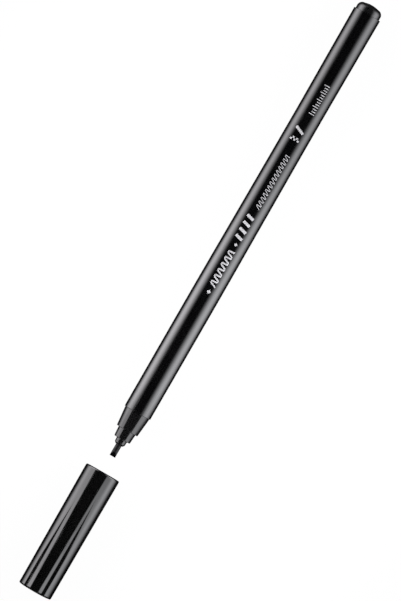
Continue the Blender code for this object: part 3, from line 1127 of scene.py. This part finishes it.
def make_floor():
    """High-key floor: it glows a little, so that shadows stay faint. Reflections don't see it."""
    mesh = bpy.data.meshes.new("floor")
    form = bmesh.new()
    bmesh.ops.create_grid(form, x_segments=1, y_segments=1, size=FLOOR_SIZE / 2)
    form.to_mesh(mesh)
    form.free()
    glow = {"Emission_Color": (1.0, 1.0, 1.0, 1.0), "Emission_Strength": 0.97}
    look = Nodes("floor", every(0.04), 0.9, Specular_IOR_Level=0.0, **glow)
    mesh.materials.append(look.material)
    floor = placed("floor", mesh)
    floor.location = (0.0, 0.0, FLOOR_Z)
    floor.visible_glossy = False
    floor.visible_shadow = False


def make_world():
    """White to the camera, dark in reflections, and a soft grey fill for everything else."""
    world = bpy.data.worlds.new("studio")
    bpy.context.scene.world = world
    world.use_nodes = True
    tree = world.node_tree
    background = tree.nodes["Background"]
    rays = tree.nodes.new("ShaderNodeLightPath")
    fill = tree.nodes.new("ShaderNodeMix")
    fill.data_type = "RGBA"
    fill.inputs["A"].default_value = (0.30, 0.30, 0.30, 1.0)
    fill.inputs["B"].default_value = (0.007, 0.007, 0.007, 1.0)
    tree.links.new(rays.outputs["Is Glossy Ray"], fill.inputs["Factor"])
    seen = tree.nodes.new("ShaderNodeMix")
    seen.data_type = "RGBA"
    seen.inputs["B"].default_value = (1.0, 1.0, 1.0, 1.0)
    tree.links.new(rays.outputs["Is Camera Ray"], seen.inputs["Factor"])
    tree.links.new(fill.outputs["Result"], seen.inputs["A"])
    tree.links.new(seen.outputs["Result"], background.inputs["Color"])


PANEL_R = 60 * MM
PANEL_REACH = 200 * MM
PANEL_X0, PANEL_X1 = CAP_END_X - PANEL_REACH, TAIL_X + PANEL_REACH
PANEL_ANGLES = (14.0, 140.0)
# Per side: peak brightness, and in degrees from straight up its centre, inner and outer half widths
PEN_LIGHT = {1: (5.05, 80.0, 51.0, 44.0), -1: (4.25, 73.0, 51.0, 53.0)}
# From x = 0 to the place below the band loses this share of its brightness and degrees of its inner half
TAIL_DIM = 0.28
TAIL_NARROWING = 4.0
TAIL_DIM_X = 53 * MM
# The cap's light turns into the pen's over this stretch
TURN_X0, TURN_X1 = BARREL_X0 - 15.5 * MM, BARREL_X0 + 8.5 * MM
# Where the panels dim, counted outwards from the tail and from the cap's closed end, and by what share
PAST_TAIL = (0.0, 95 * MM)
PAST_CAP = (1 * MM, 16 * MM)
END_DIM = 0.93
PANEL_TINT = {1: (0.988, 0.970, 1.0), -1: (0.963, 0.968, 1.0)}


def hump(angle, centre, inner_half, outer_half):
    """1 at the centre, falling smoothly to 0 at each half width."""
    share = min(abs(angle - centre) / (inner_half if angle < centre else outer_half), 1.0)
    return math.cos(share * math.pi / 2) ** 2


def pen_glow(x, angle, side):
    """A soft band of light over the barrel, dimmer towards the tail."""
    peak, centre, inner_half, outer_half = PEN_LIGHT[side]
    rearward = smooth(x, 0.0, TAIL_DIM_X)
    shape = hump(angle, centre, inner_half - TAIL_NARROWING * rearward, outer_half)
    return peak * (1 - TAIL_DIM * rearward) * shape


# The light over the nose and the cap, per side, in degrees from straight up. Three values stand for the
# nose, the cap's mouth and its closed end. The band starts at "inner", is as bright as "low" before the
# "turn" and as "high" after it, and fades out. A dark flag splits it: "flag" says at which shares of the
# cap's length the flag begins and is full
CAP_LIGHT = {
    1: {
        "inner": (48.0, 48.0, 36.0),
        "low": (2.064, 2.4, 3.3),
        "high": (2.58, 3.0, 3.0),
        "turn": (70.0, 88.0),
        "fade_start": (88.0, 88.0, 88.0),
        "fade_end": (124.0, 124.0, 124.0),
        "flag": (0.31, 0.82),
        "flag_centre": (65.0, 72.0),
        "flag_half": 12.5,
    },
    -1: {
        "inner": (47.0, 34.0, 23.0),
        "low": (2.2, 1.5, 2.6),
        "high": (2.2, 3.1, 2.7),
        "turn": (55.0, 82.0),
        "fade_start": (70.0, 77.0, 77.0),
        "fade_end": (118.0, 120.0, 120.0),
        "flag": (0.24, 0.74),
        "flag_centre": (45.0, 56.0),
        "flag_half": 13.0,
    },
}
NOSE_TURN = 2.5 * MM
BAND_EDGE = 3.0
FLAG_EDGE = 2.0
LEAST_FLAG = 0.2


def cap_glow(x, angle, side):
    """A harder-edged band over the nose and the cap, split by a dark flag towards the closed end."""
    light = CAP_LIGHT[side]
    share = min(max((CAP_MOUTH_X - x) / CAP_LENGTH, 0.0), 1.0)
    nose = smooth(x, CAP_MOUTH_X, CAP_MOUTH_X + NOSE_TURN)

    def here(name):
        at_nose, at_mouth, at_end = light[name]
        return mix(mix(at_mouth, at_end, share), at_nose, nose)

    inner = here("inner")
    level = mix(here("low"), here("high"), smooth(angle, *light["turn"]))
    outer = 1 - smooth(angle, here("fade_start"), here("fade_end"))
    edge = smooth(angle, inner - BAND_EDGE, inner + BAND_EDGE)
    flag_start, flag_end = light["flag"]
    flag = min(max((share - flag_start) / (flag_end - flag_start), 0.0), 1.0)
    half = flag * light["flag_half"]
    cut = 0.0
    if half > LEAST_FLAG:
        off = abs(angle - mix(*light["flag_centre"], flag))
        cut = 1 - smooth(off, half - FLAG_EDGE, half + FLAG_EDGE)
    return level * outer * edge * (1 - cut)


def panel_glow(x, angle, side):
    """The panels run on past both ends and dim there, so that rims that turn to the ends stay dark."""
    share = smooth(x, TURN_X0, TURN_X1)
    glow = mix(cap_glow(x, angle, side), pen_glow(x, angle, side), share)
    past_tail = smooth(x - TAIL_X, *PAST_TAIL)
    past_cap = smooth(CAP_END_X - x, *PAST_CAP)
    return glow * (1 - END_DIM * max(past_tail, past_cap))


def make_panel(name, side):
    """A curved light panel along one side of the pen. The camera doesn't see it."""
    columns, rows = 400, 126
    mesh = bpy.data.meshes.new(name)
    points, faces, glow = [], [], []
    for i in range(columns + 1):
        x = mix(PANEL_X0, PANEL_X1, i / columns)
        for j in range(rows + 1):
            degrees = mix(*PANEL_ANGLES, j / rows)
            angle = math.radians(degrees)
            points.append((x, side * PANEL_R * math.sin(angle), PANEL_R * math.cos(angle)))
            glow.append(panel_glow(x, degrees, side))
    for i in range(columns):
        for j in range(rows):
            a = i * (rows + 1) + j
            faces.append((a, a + 1, a + rows + 2, a + rows + 1))
    mesh.from_pydata(points, [], faces)
    mesh.attributes.new("glow", "FLOAT", "POINT").data.foreach_set("value", glow)
    material = bpy.data.materials.new(name)
    material.use_nodes = True
    tree = material.node_tree
    tree.nodes.remove(tree.nodes["Principled BSDF"])
    emission = tree.nodes.new("ShaderNodeEmission")
    emission.inputs["Color"].default_value = (*PANEL_TINT[side], 1.0)
    attribute = tree.nodes.new("ShaderNodeAttribute")
    attribute.attribute_name = "glow"
    tree.links.new(attribute.outputs["Fac"], emission.inputs["Strength"])
    tree.links.new(emission.outputs["Emission"], tree.nodes["Material Output"].inputs["Surface"])
    mesh.materials.append(material)
    panel = placed(name, mesh)
    panel.visible_camera = False
    panel.visible_shadow = False


# ---- put together


def main():
    make_camera()
    make_floor()
    make_world()
    make_panel("panel_plus_y", 1)
    make_panel("panel_minus_y", -1)
    bpy.context.scene.view_settings.view_transform = "Standard"

    satin, white = satin_black("satin_black", 0.0085), print_white()
    barrel_tube(gloss_black())
    tail_plug(satin_black("plug_black", 0.0125))
    nose_section(satin)
    nib_insert(satin)
    fibre_nib(nib_fibre())
    ink_core(inked_fibre())
    film_wrap(clear_film())
    bold_strokes(white)
    fine_strokes(white)
    width_ladder(white)
    tick_row(white)
    cap_outer(cap_black())
    cap_inner(liner_grey())


main()
